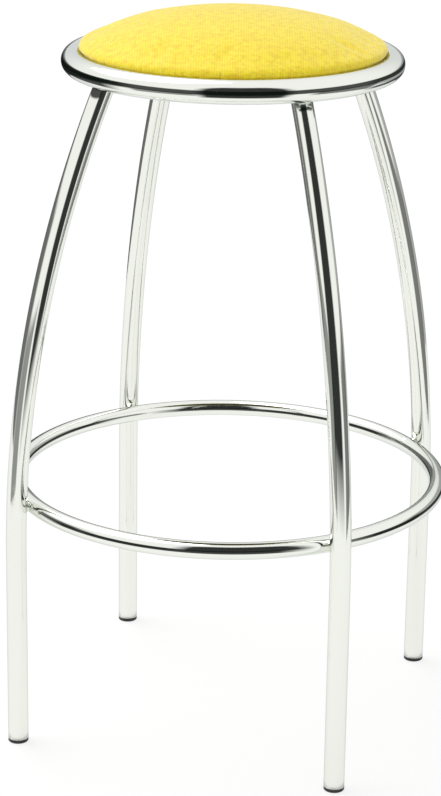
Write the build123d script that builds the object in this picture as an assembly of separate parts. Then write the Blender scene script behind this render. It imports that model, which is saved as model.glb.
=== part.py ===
from build123d import *
from math import acos, asin, atan2, cos, degrees, pi, sin, sqrt
import os

# Bar stool: four bowed chromed legs, a seat ring, a foot ring and a domed upholstered pad
# Millimetres, floor at z = 0, the stool's axis along Z, front towards -Y

# Seat ring and foot ring, both tube hoops
seat_ring_radius = 167.5    # stool's axis to the tube's centreline
seat_ring_height = 730.0    # floor to the tube's centreline
seat_tube = 25.0
seat_tube_wall = 1.5
foot_ring_height = 270.0
foot_tube = 18.0
foot_tube_wall = 1.5
vent_hole = 5.0             # drains the plating bath from a closed hoop

# Legs
foot_spread = 252.0         # stool's axis to a leg's axis at the floor
leg_straight = 220.0        # height where the upright foot starts to bow inwards
leg_tube = 22.0
leg_wall = 1.5
leg_corners = ("back_right", "back_left", "front_left", "front_right")
leg_angles = {corner: 45 + 90 * turn for turn, corner in enumerate(leg_corners)}    # degrees from X

# Welds
weld_gap = 0.3              # root gap between tubes that cross
seat_weld = 6.5             # bead's radius at the seat ring
foot_weld = 6.0             # bead's radius at the foot ring

# Glides
glide_height = 4.0
glide_rounding = 1.5
plug_length = 18.0
plug_core = 14.0
plug_cavity = 9.0
plug_floor = 4.0
fin_height = 1.2
fin_pitch = 5.0
fin_count = 3
plug_clearance = 0.05

# Pad, from its outer skin inwards
pad_inset = 6.0             # ring's centreline to the pad's widest line
pad_clearance = 0.4         # between the pad and the ring that it nests in
pad_rise = 3.0              # ring's centreline to the pad's underside
border_height = 2.0         # short upright side above the ring
edge_roll = 8.0
crown_height = 40.0
cover_thickness = 1.0
foam_clearance = 0.2
board_thickness = 12.0
board_margin = 6.0          # foam lapped over the board's edge
board_rounding = 3.0

# Seat brackets and their fasteners
bracket_thickness = 3.0
bracket_width = 25.0
screw_room = 4.8            # between a washer and the leg beside it
screw_diameter = 6.0
screw_tip_short = 1.5       # screw's tip below the board's top
head_diameter = 12.0
head_height = 4.0
head_rounding = 1.5
socket_width = 4.0          # across flats
socket_depth = 2.2
washer_diameter = 14.0
washer_thickness = 1.5
washer_clearance = 0.2
bracket_clearance = 0.3
cover_hole_clearance = 0.5
thread_clearance = 0.05
tee_flange = 18.0
tee_flange_thickness = 1.2
tee_barrel_wall = 0.9
tee_barrel_short = 3.0      # barrel's end above the board's underside
tee_clearance = 0.2
prong_width = 2.0
prong_thickness = 1.0
prong_length = 6.0
prong_count = 4

# Cover's turned-under hem and its staples
hem_margin = 4.0            # hem past the brackets' inner ends
staple_inset = 26.0         # pad's lower edge to the row of staples
staple_pitch = 22.0
staple_width = 10.0
staple_wire = 1.2
staple_crown = 0.6
staple_depth = 6.0
staple_room = 4.0           # between the last staple and a bracket

# Heights that follow from the sizes above
pad_bottom = seat_ring_height + pad_rise
leg_top = pad_bottom - bracket_thickness
board_bottom = pad_bottom + cover_thickness
board_top = board_bottom + board_thickness

# Bow of the legs: one arc, tangent to the upright foot and to the seat ring's inner side
ring_from_foot = seat_ring_radius - foot_spread
bow_rise = seat_ring_height - leg_straight
seat_reach = leg_tube / 2 + weld_gap + seat_tube / 2
bow_radius = (ring_from_foot**2 + bow_rise**2 - seat_reach**2) / (2 * (seat_reach - ring_from_foot))
bow_centre = foot_spread - bow_radius
seat_weld_angle = asin(bow_rise / (bow_radius + seat_reach))
top_lean = asin((leg_top - leg_straight) / bow_radius)
leg_top_radius = bow_centre + bow_radius * cos(top_lean)

# Foot ring, tangent to the legs' inner side
foot_reach = leg_tube / 2 + weld_gap + foot_tube / 2
foot_lift = max(0.0, foot_ring_height - leg_straight)
foot_weld_angle = asin(foot_lift / (bow_radius - foot_reach))
foot_ring_radius = bow_centre + (bow_radius - foot_reach) * cos(foot_weld_angle)

# Pad's outline: a crown arc, an edge roll, an upright border and a bed that follows the ring
bed_radius = seat_tube / 2 + pad_clearance
pad_radius = seat_ring_radius - pad_inset
roll_height = seat_ring_height + sqrt(bed_radius**2 - pad_inset**2) + border_height
roll_radius = pad_radius - edge_roll
pad_top = roll_height + crown_height
crown_radius = (roll_radius**2 + crown_height**2 - edge_roll**2) / (2 * (crown_height - edge_roll))
crown_angle = atan2(crown_radius - crown_height, roll_radius)
pad_foot_radius = seat_ring_radius - sqrt(bed_radius**2 - pad_rise**2)
board_radius = pad_foot_radius - board_margin

# Screw circle, brackets and hem
screw_circle = leg_top_radius - leg_tube / 2 / cos(top_lean) - screw_room - washer_diameter / 2
bracket_end = seat_ring_radius - seat_tube / 2 - weld_gap
hem_radius = screw_circle - bracket_width / 2 - hem_margin
staple_circle = pad_foot_radius - staple_inset
head_top = leg_top - washer_thickness
screw_tip = board_top - screw_tip_short


def disc(radius, bottom, top, centre=0.0):
    """Upright cylinder between two heights, its axis at a distance from the stool's axis."""
    base = (Align.CENTER, Align.CENTER, Align.MIN)
    return Pos(centre, 0, bottom) * Cylinder(radius, top - bottom, align=base)


def block(length, width, bottom, top, centre):
    """Upright box between two heights, its middle at a distance from the stool's axis."""
    base = (Align.CENTER, Align.CENTER, Align.MIN)
    return Pos(centre, 0, bottom) * Box(length, width, top - bottom, align=base)


def arc(centre, radius, start, end):
    """Arc between two angles, drawn with the distance from the stool's axis as x and the height as y."""
    angles = (start, (start + end) / 2, end)
    return ThreePointArc(*[(centre[0] + radius * cos(a), centre[1] + radius * sin(a)) for a in angles])


def at_each_leg(shape):
    """Copies of a shape turned from the X axis to the four legs' directions."""
    return [Rot(0, 0, angle) * shape for angle in leg_angles.values()]


def group(shapes):
    """Like pieces kept as separate solids of one node."""
    return Compound([solid for shape in shapes for solid in shape.solids()])


def tube_hoop(ring_radius, height, tube, wall):
    """Hollow ring of round tube."""
    hoop = Torus(ring_radius, tube / 2) - Torus(ring_radius, tube / 2 - wall)
    return Pos(0, 0, height) * hoop


def seat_ring():
    hoop = tube_hoop(seat_ring_radius, seat_ring_height, seat_tube, seat_tube_wall)
    vent = Pos(seat_ring_radius - seat_tube / 2, 0, seat_ring_height) * Rot(0, 90, 0)
    return hoop - vent * Cylinder(vent_hole / 2, seat_tube / 2)


def foot_ring():
    hoop = tube_hoop(foot_ring_radius, foot_ring_height, foot_tube, foot_tube_wall)
    return hoop - disc(vent_hole / 2, foot_ring_height - foot_tube, foot_ring_height, foot_ring_radius)


def leg_rod(diameter):
    """Solid rod along a leg's centreline over the X axis, cut level at the top."""
    past_top = asin((leg_top + leg_tube - leg_straight) / bow_radius)
    upright = Line((foot_spread, glide_height), (foot_spread, leg_straight))
    bow = arc((bow_centre, leg_straight), bow_radius, 0, past_top)
    centreline = Plane.XZ * Wire([upright, bow])
    section = Pos(foot_spread, 0, glide_height) * Circle(diameter / 2)
    return split(sweep(section, path=centreline), Plane.XY.offset(leg_top), keep=Keep.BOTTOM)


def leg():
    return leg_rod(leg_tube) - leg_rod(leg_tube - 2 * leg_wall)


def seat_weld_bead():
    """Bead in the crotch between a leg and the seat ring, level with the leg's cut top."""
    along = bow_radius + leg_tube / 2 + weld_gap / 2
    place = Pos(bow_centre + along * cos(seat_weld_angle), 0, leg_straight + along * sin(seat_weld_angle))
    bead = place * Sphere(seat_weld)
    bead -= leg_rod(leg_tube)
    bead -= Pos(0, 0, seat_ring_height) * Torus(seat_ring_radius, seat_tube / 2)
    return split(bead, Plane.XY.offset(leg_top), keep=Keep.BOTTOM)


def foot_weld_bead():
    """Bead in the crotch between a leg and the foot ring."""
    along = bow_radius - leg_tube / 2 - weld_gap / 2
    height = foot_ring_height - foot_lift + along * sin(foot_weld_angle)
    bead = Pos(bow_centre + along * cos(foot_weld_angle), 0, height) * Sphere(foot_weld)
    bead -= leg_rod(leg_tube)
    bead -= Pos(0, 0, foot_ring_height) * Torus(foot_ring_radius, foot_tube / 2)
    return bead


def glide():
    """Foot cap whose finned plug grips the bore of the leg."""
    foot = disc(leg_tube / 2, 0, glide_height, foot_spread)
    foot = fillet(foot.edges().group_by(Axis.Z)[0], glide_rounding)
    plug_top = glide_height + plug_length
    foot += disc(plug_core / 2, glide_height, plug_top, foot_spread)
    fin_radius = leg_tube / 2 - leg_wall - plug_clearance
    for row in range(1, fin_count + 1):
        fin_bottom = glide_height + row * fin_pitch
        foot += disc(fin_radius, fin_bottom, fin_bottom + fin_height, foot_spread)
    return foot - disc(plug_cavity / 2, glide_height + plug_floor, plug_top, foot_spread)


def seat_bracket():
    """Steel tab on a leg's top, rounded about its screw hole and ending just inside the seat ring."""
    tab = Pos(screw_circle, 0) * Circle(bracket_width / 2)
    reach = bracket_end - screw_circle
    tab += Pos(screw_circle + reach / 2, 0) * Rectangle(reach, bracket_width)
    tab &= Circle(bracket_end)
    tab -= Pos(screw_circle, 0) * Circle(screw_diameter / 2 + bracket_clearance)
    return Pos(0, 0, leg_top) * extrude(tab, bracket_thickness)


def seat_screw():
    """Socket button-head screw, driven from below."""
    head = disc(head_diameter / 2, head_top - head_height, head_top, screw_circle)
    head = fillet(head.edges().group_by(Axis.Z)[0], head_rounding)
    socket = RegularPolygon(socket_width / 2, 6, major_radius=False)
    head -= Pos(screw_circle, 0, head_top - head_height) * extrude(socket, socket_depth)
    return head + disc(screw_diameter / 2, head_top, screw_tip, screw_circle)


def seat_washer():
    hole = screw_diameter / 2 + washer_clearance
    ring = disc(washer_diameter / 2, head_top, leg_top, screw_circle)
    return ring - disc(hole, head_top, leg_top, screw_circle)


def tee_nut():
    """Flange on the board, threaded barrel through it and prongs driven into it."""
    bore = screw_diameter / 2 + thread_clearance
    barrel_end = board_bottom + tee_barrel_short
    flange_top = board_top + tee_flange_thickness
    nut = disc(tee_flange / 2, board_top, flange_top, screw_circle)
    nut += disc(bore + tee_barrel_wall, barrel_end, board_top, screw_circle)
    nut -= disc(bore, barrel_end, flange_top, screw_circle)
    prong = block(prong_thickness, prong_width, board_top - prong_length, board_top, 0)
    prong_circle = tee_flange / 2 - prong_width
    for turn in range(prong_count):
        swing = Pos(screw_circle, 0) * Rot(0, 0, 360 / prong_count * turn) * Pos(prong_circle, 0)
        nut += swing * prong
    return nut


def staple_turns():
    """Angles of the staples: one even row in each gap between two brackets."""
    blocked = degrees(asin((bracket_width / 2 + staple_room + staple_width / 2) / staple_circle))
    free = 90 - 2 * blocked
    gaps = max(1, round(free / degrees(staple_pitch / staple_circle)))
    starts = [angle + blocked for angle in leg_angles.values()]
    return [start + free * step / gaps for start in starts for step in range(gaps + 1)]


def staple():
    """Flat wire staple, its crown against the hem and its legs in the board."""
    wire = block(staple_wire, staple_width, pad_bottom - staple_crown, pad_bottom, staple_circle)
    tip = board_bottom + staple_depth
    for side in (-1, 1):
        shank = block(staple_wire, staple_crown, pad_bottom, tip, staple_circle)
        wire += Pos(0, side * (staple_width - staple_crown) / 2) * shank
    return wire


def pad_solid(inset, underside):
    """The pad's outline turned about the stool's axis, drawn in by an inset, with a flat underside."""
    widest = pad_radius - inset
    bed = bed_radius + inset
    ring = (seat_ring_radius, seat_ring_height)
    crown = arc((0, pad_top - crown_radius), crown_radius - inset, pi / 2, crown_angle)
    roll = arc((roll_radius, roll_height), edge_roll - inset, crown_angle, 0)
    bed_end = pi - asin((underside - seat_ring_height) / bed)
    nest = arc(ring, bed, acos((widest - seat_ring_radius) / bed), bed_end)
    border = Line(roll @ 1, nest @ 0)
    bottom = Line(nest @ 1, (0, underside))
    axis = Line(bottom @ 1, crown @ 0)
    outline = make_face([crown, roll, border, nest, bottom, axis])
    return revolve(Plane.XZ * outline, Axis.Z)


def seat_board(tee_nuts, staples):
    board = disc(board_radius, board_bottom, board_top)
    board = fillet(board.edges().group_by(Axis.Z)[-1], board_rounding)
    barrel_hole = screw_diameter / 2 + thread_clearance + tee_barrel_wall + tee_clearance
    board -= at_each_leg(disc(barrel_hole, board_bottom, board_top, screw_circle))
    return board - tee_nuts - staples


def seat_foam():
    foam = pad_solid(cover_thickness + foam_clearance, board_bottom)
    foam -= disc(board_radius + foam_clearance, board_bottom, board_top)
    pocket_top = board_top + tee_flange_thickness + tee_clearance
    pocket = disc(tee_flange / 2 + tee_clearance, board_top, pocket_top, screw_circle)
    return foam - at_each_leg(pocket)


def seat_cover(staples):
    """Cloth skin over the foam, turned under the board to its hem."""
    cover = pad_solid(0, pad_bottom) - pad_solid(cover_thickness, board_bottom)
    cover -= disc(hem_radius, pad_bottom, board_bottom)
    hole = screw_diameter / 2 + cover_hole_clearance
    cover -= at_each_leg(disc(hole, pad_bottom, board_bottom, screw_circle))
    return cover - staples


def build():
    """Every sub-part by its node's name."""
    tee_nuts = at_each_leg(tee_nut())
    staples = [Rot(0, 0, turn) * staple() for turn in staple_turns()]
    nodes = {
        "seat_ring": seat_ring(),
        "foot_ring": foot_ring(),
        "leg_welds": group(at_each_leg(seat_weld_bead())),
        "foot_ring_welds": group(at_each_leg(foot_weld_bead())),
        "seat_board": seat_board(tee_nuts, staples),
        "seat_foam": seat_foam(),
        "seat_cover": seat_cover(staples),
        "cover_staples": group(staples),
        "seat_screws": group(at_each_leg(seat_screw())),
        "seat_washers": group(at_each_leg(seat_washer())),
        "tee_nuts": group(tee_nuts),
    }
    for name, shape in (("leg", leg()), ("glide", glide()), ("seat_bracket", seat_bracket())):
        for corner, angle in leg_angles.items():
            nodes[f"{name}_{corner}"] = Rot(0, 0, angle) * shape
    return nodes


os.makedirs("parts", exist_ok=True)
for node, shape in build().items():
    export_step(shape, f"parts/{node}.step")
print("bow radius", round(bow_radius, 1), "foot ring radius", round(foot_ring_radius, 1),
      "crown radius", round(crown_radius, 1), "top", round(pad_top, 1))
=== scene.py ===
from math import asin, atan2, cos, degrees, pi, radians, remainder, sin, sqrt

import bmesh
import bpy
from bpy.props import FloatProperty, FloatVectorProperty, IntProperty, PointerProperty
from mathutils import Matrix, Vector, noise
from mathutils.bvhtree import BVHTree
from mathutils.kdtree import KDTree


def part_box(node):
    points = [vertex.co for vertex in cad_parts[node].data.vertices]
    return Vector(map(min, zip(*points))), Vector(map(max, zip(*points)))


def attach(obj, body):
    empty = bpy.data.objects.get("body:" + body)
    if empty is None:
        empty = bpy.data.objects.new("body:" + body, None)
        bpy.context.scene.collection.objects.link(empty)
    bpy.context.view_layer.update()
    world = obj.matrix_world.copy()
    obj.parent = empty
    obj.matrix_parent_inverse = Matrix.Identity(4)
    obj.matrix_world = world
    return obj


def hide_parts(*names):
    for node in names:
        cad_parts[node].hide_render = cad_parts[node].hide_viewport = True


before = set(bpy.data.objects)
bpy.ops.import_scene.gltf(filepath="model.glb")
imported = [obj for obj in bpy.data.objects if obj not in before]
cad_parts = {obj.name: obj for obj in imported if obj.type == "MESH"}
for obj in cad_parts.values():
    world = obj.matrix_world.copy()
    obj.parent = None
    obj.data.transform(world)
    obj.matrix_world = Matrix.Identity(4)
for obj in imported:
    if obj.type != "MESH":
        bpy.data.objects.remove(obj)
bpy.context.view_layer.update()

bl_info = {
    "name": "Chromed Bar Stool",
    "version": (1, 0, 0),
    "blender": (4, 5, 0),
    "location": "View3D > Sidebar > Bar Stool",
    "description": "Dresses the packed solids of a bar stool with chrome, cloth and plastic",
    "category": "Object",
}

MM = 0.001
BODY = "root"
CORNERS = ("back_right", "back_left", "front_left", "front_right")


def hoop_sizes(node):
    """Centreline radius, centreline height and tube radius of a packed tube hoop."""
    low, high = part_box(node)
    tube = (high.z - low.z) / 2
    return max(high.x, -low.x) - tube, (high.z + low.z) / 2, tube


def foot_place(corner):
    """Middle of a leg's foot on the floor and the leg's tube radius."""
    low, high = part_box("glide_" + corner)
    return Vector((low.x + high.x, low.y + high.y, 0)) / 2, (high.x - low.x) / 2


SEAT_RING, SEAT_RING_HEIGHT, SEAT_TUBE = hoop_sizes("seat_ring")
FOOT_RING, FOOT_RING_HEIGHT, FOOT_TUBE = hoop_sizes("foot_ring")
LEG_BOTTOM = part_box("leg_front_left")[0].z
LEG_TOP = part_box("leg_front_left")[1].z
FOOT_SPREAD = foot_place("front_left")[0].length
LEG_TUBE = foot_place("front_left")[1]
PAD_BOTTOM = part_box("seat_cover")[0].z
PAD_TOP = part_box("seat_cover")[1].z
PAD_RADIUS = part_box("seat_cover")[1].x
BOARD_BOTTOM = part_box("seat_board")[0].z
BOARD_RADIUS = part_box("seat_board")[1].x
TEE_NUT_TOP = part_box("tee_nuts")[1].z


def linear(code):
    """Linear red, green and blue of an sRGB hex colour."""
    parts = [int(code[i:i + 2], 16) / 255 for i in (0, 2, 4)]
    return [((c + 0.055) / 1.055) ** 2.4 if c > 0.04045 else c / 12.92 for c in parts]


# Sizes and colours that a user would change

class StoolTubeSettings(bpy.types.PropertyGroup):
    upright: FloatProperty(
        name="Upright Foot", description="Height where a leg starts to bow inwards",
        default=220 * MM, unit="LENGTH")
    wall: FloatProperty(
        name="Tube Wall", description="Wall of the leg tubes", default=1.5 * MM, unit="LENGTH")
    weld_gap: FloatProperty(
        name="Root Gap", description="Gap between tubes that cross", default=0.3 * MM, unit="LENGTH")
    sides: IntProperty(name="Sides", description="Faces round a tube", default=64)
    weld_ripples: IntProperty(name="Weld Ripples", description="Ripples in one weld", default=16)
    weld_radius: FloatProperty(
        name="Bead Radius", description="Radius of a weld's bead", default=1.7 * MM, unit="LENGTH")
    drain: FloatProperty(
        name="Drain Hole", description="Hole that drains the plating bath from a hoop",
        default=5 * MM, unit="LENGTH")
    plate_colour: FloatVectorProperty(
        name="Chrome", description="Colour of the chrome plate", default=linear("EFF1EA"), subtype="COLOR")


class StoolPadSettings(bpy.types.PropertyGroup):
    edge_roll: FloatProperty(
        name="Edge Roll", description="Radius of the pad's rolled edge", default=8 * MM, unit="LENGTH")
    border: FloatProperty(
        name="Border", description="Side of the pad above the seat ring", default=3.2 * MM, unit="LENGTH")
    tuck: FloatProperty(
        name="Tuck", description="How far the pad's side turns in above the seat ring",
        default=4.5 * MM, unit="LENGTH")
    hem: FloatProperty(
        name="Hem", description="Width of the cloth turned under the board", default=54 * MM, unit="LENGTH")
    clearance: FloatProperty(
        name="Clearance", description="Gap between cloth and seat ring", default=0.4 * MM, unit="LENGTH")
    slack: FloatProperty(
        name="Slack", description="How far the pad starts below its filled shape",
        default=4 * MM, unit="LENGTH")
    voxel: FloatProperty(
        name="Voxel", description="Mesh size of the simulated cloth", default=5 * MM, unit="LENGTH")
    pressure: FloatProperty(name="Pressure", description="Inner pressure of the foam on the cloth", default=4)
    thread: FloatProperty(
        name="Thread", description="Spacing of the cloth's threads", default=2.6 * MM, unit="LENGTH")
    cloth_colour: FloatVectorProperty(
        name="Cloth", description="Colour of the woven cloth", default=linear("FFEB28"), subtype="COLOR")
    pleats: IntProperty(name="Pleats", description="Gathers in the turned-under hem", default=44)


class StoolStageSettings(bpy.types.PropertyGroup):
    azimuth: FloatProperty(
        name="Azimuth", description="Camera's direction, from the front towards the right",
        default=radians(17.147), subtype="ANGLE")
    distance: FloatProperty(
        name="Distance", description="Camera to the stool's axis", default=2.66746, unit="LENGTH")
    height: FloatProperty(name="Height", description="Camera above the floor", default=1.23626, unit="LENGTH")
    pitch: FloatProperty(
        name="Pitch", description="Camera's tilt below the horizon", default=0.31818, subtype="ANGLE")
    pan: FloatProperty(
        name="Pan", description="Camera's turn to the right", default=-0.00303, subtype="ANGLE")
    roll: FloatProperty(name="Roll", description="Camera's roll", default=0.01448, subtype="ANGLE")
    lens: FloatProperty(name="Lens", description="Focal length in millimetres", default=116.385)
    even_light: FloatProperty(
        name="Even Light", description="Strength of the light from all round", default=0.6)
    lamp_power: FloatProperty(name="Lamp Power", description="Strength of the broad lamp", default=1.97)
    lamp_breadth: FloatProperty(
        name="Lamp Breadth", description="How wide the broad lamp looks from the stool",
        default=radians(50), subtype="ANGLE")


class StoolSettings(bpy.types.PropertyGroup):
    tube: PointerProperty(type=StoolTubeSettings)
    pad: PointerProperty(type=StoolPadSettings)
    stage: PointerProperty(type=StoolStageSettings)


# Node trees

def connect(tree, node, inputs):
    """Gives a node its inputs: plain values, sockets that feed them, or nodes whose first output does."""
    for key, value in inputs.items():
        if isinstance(value, bpy.types.Node):
            value = value.outputs[0]
        if isinstance(value, bpy.types.NodeSocket):
            tree.links.new(value, node.inputs[key])
        else:
            node.inputs[key].default_value = value


def add(tree, kind, inputs=None, **settings):
    """Adds a node with its settings and inputs."""
    node = tree.nodes.new(kind)
    for name, value in settings.items():
        setattr(node, name, value)
    connect(tree, node, inputs or {})
    return node


def new_material(name):
    """An empty material with a Principled shader on its output."""
    material = bpy.data.materials.new(name)
    material.use_nodes = True
    tree = material.node_tree
    tree.nodes.clear()
    shader = add(tree, "ShaderNodeBsdfPrincipled")
    add(tree, "ShaderNodeOutputMaterial", {"Surface": shader})
    return material, tree, shader


# Finishes

def chrome_plate(name, colour, attribute=None, roughness=(0.05, 0.11)):
    """Polished chrome plate: a near mirror, bent by long gentle waves, with faint polishing lines."""
    material, tree, shader = new_material(name)
    if attribute:
        place = add(tree, "ShaderNodeAttribute", attribute_name=attribute).outputs["Vector"]
    else:
        place = add(tree, "ShaderNodeTexCoord").outputs["Object"]
    # Waves about 45 mm long, as a drawn tube has after bending and buffing
    waves = add(tree, "ShaderNodeTexNoise", {"Vector": place, "Scale": 1 / (45 * MM), "Detail": 0})
    # Buffing lines 0.6 mm apart, drawn out along the tube
    drawn_out = add(tree, "ShaderNodeMapping", {"Vector": place, "Scale": (1, 1, 0.02)})
    lines = add(tree, "ShaderNodeTexNoise", {"Vector": drawn_out, "Scale": 1 / (0.6 * MM), "Detail": 3})
    # Cloudy patches about 12 mm wide, where the buffing was lighter
    clouds = add(tree, "ShaderNodeTexNoise", {"Vector": place, "Scale": 1 / (12 * MM), "Detail": 4})
    bright, dull = roughness
    sheen = add(tree, "ShaderNodeMapRange", {0: clouds, 1: 0.35, 2: 0.7, 3: bright, 4: dull})
    fine = add(tree, "ShaderNodeBump", {"Strength": 0.05, "Distance": 0.02 * MM, "Height": lines})
    long = add(tree, "ShaderNodeBump", {
        "Strength": 0.3, "Distance": 0.5 * MM, "Height": waves, "Normal": fine})
    # Chromium reflects less towards grazing, which draws a fine grey line along both edges of a tube
    connect(tree, shader, {
        "Base Color": (*colour, 1), "Metallic": 1, "Specular Tint": (*linear("DADDDE"), 1),
        "Roughness": sheen, "Normal": long})
    return material


def zinc_plate(name):
    """Bright zinc plate on steel fasteners: grey, satin, with a faint cloudy bloom."""
    material, tree, shader = new_material(name)
    place = add(tree, "ShaderNodeTexCoord").outputs["Object"]
    bloom = add(tree, "ShaderNodeTexNoise", {"Vector": place, "Scale": 1 / (2 * MM), "Detail": 5})
    colour = add(tree, "ShaderNodeMix", {
        0: bloom, 6: (*linear("A9ADB0"), 1), 7: (*linear("CDCFCB"), 1)}, data_type="RGBA")
    rough = add(tree, "ShaderNodeMapRange", {0: bloom, 3: 0.25, 4: 0.45})
    connect(tree, shader, {"Base Color": colour.outputs[2], "Metallic": 1, "Roughness": rough})
    return material


def moulded_polyethylene(name):
    """Black moulded polyethylene: soft gloss, fine mould grain and grey scuffs near the floor."""
    material, tree, shader = new_material(name)
    place = add(tree, "ShaderNodeTexCoord").outputs["Object"]
    grain = add(tree, "ShaderNodeTexNoise", {"Vector": place, "Scale": 1 / (0.5 * MM), "Detail": 3})
    scuffs = add(tree, "ShaderNodeTexNoise", {
        "Vector": place, "Scale": 1 / (1.5 * MM), "Detail": 6, "Roughness": 0.7})
    height = add(tree, "ShaderNodeSeparateXYZ", {0: place}).outputs["Z"]
    low = add(tree, "ShaderNodeMapRange", {0: height, 1: 0, 2: 2.5 * MM, 3: 0.75, 4: 0.1})
    worn = add(tree, "ShaderNodeMath", {0: scuffs, 1: low}, operation="MULTIPLY")
    colour = add(tree, "ShaderNodeMix", {
        0: worn, 6: (*linear("141516"), 1), 7: (*linear("4A4B4A"), 1)}, data_type="RGBA")
    rough = add(tree, "ShaderNodeMapRange", {0: scuffs, 3: 0.38, 4: 0.6})
    bump = add(tree, "ShaderNodeBump", {"Strength": 0.2, "Distance": 0.1 * MM, "Height": grain})
    connect(tree, shader, {"Base Color": colour.outputs[2], "Roughness": rough, "Normal": bump})
    return material


def birch_plywood(name):
    """Rotary-cut birch face veneer: pale, with long flame figure along the sheet and fine pores."""
    material, tree, shader = new_material(name)
    place = add(tree, "ShaderNodeTexCoord").outputs["Object"]
    # Figure about 30 mm wide and eight times as long, cut into rings
    along = add(tree, "ShaderNodeMapping", {"Vector": place, "Scale": (0.12, 1, 1)})
    figure = add(tree, "ShaderNodeTexNoise", {
        "Vector": along, "Scale": 1 / (30 * MM), "Detail": 2, "Distortion": 0.6})
    rings = add(tree, "ShaderNodeMath", {0: figure, 1: 60}, operation="MULTIPLY")
    bands = add(tree, "ShaderNodeMath", {0: rings}, operation="SINE")
    tone = add(tree, "ShaderNodeMapRange", {0: bands, 1: -1, 2: 1, 3: 0.1, 4: 0.5})
    # Pores 0.4 mm wide, drawn out along the grain
    drawn_out = add(tree, "ShaderNodeMapping", {"Vector": place, "Scale": (0.04, 1, 1)})
    pores = add(tree, "ShaderNodeTexNoise", {"Vector": drawn_out, "Scale": 1 / (0.4 * MM), "Detail": 2})
    specks = add(tree, "ShaderNodeMapRange", {0: pores, 1: 0.6, 2: 0.75, 3: 0, 4: 0.5})
    colour = (*linear("DDC49A"), 1)
    for share, layer in ((tone, "C4A06C"), (specks, "7C5A35")):
        mixed = add(tree, "ShaderNodeMix", {0: share, 6: colour, 7: (*linear(layer), 1)}, data_type="RGBA")
        colour = mixed.outputs[2]
    bump = add(tree, "ShaderNodeBump", {"Strength": 0.3, "Distance": 0.1 * MM, "Height": pores})
    connect(tree, shader, {"Base Color": colour, "Roughness": 0.62, "Normal": bump})
    return material


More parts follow.
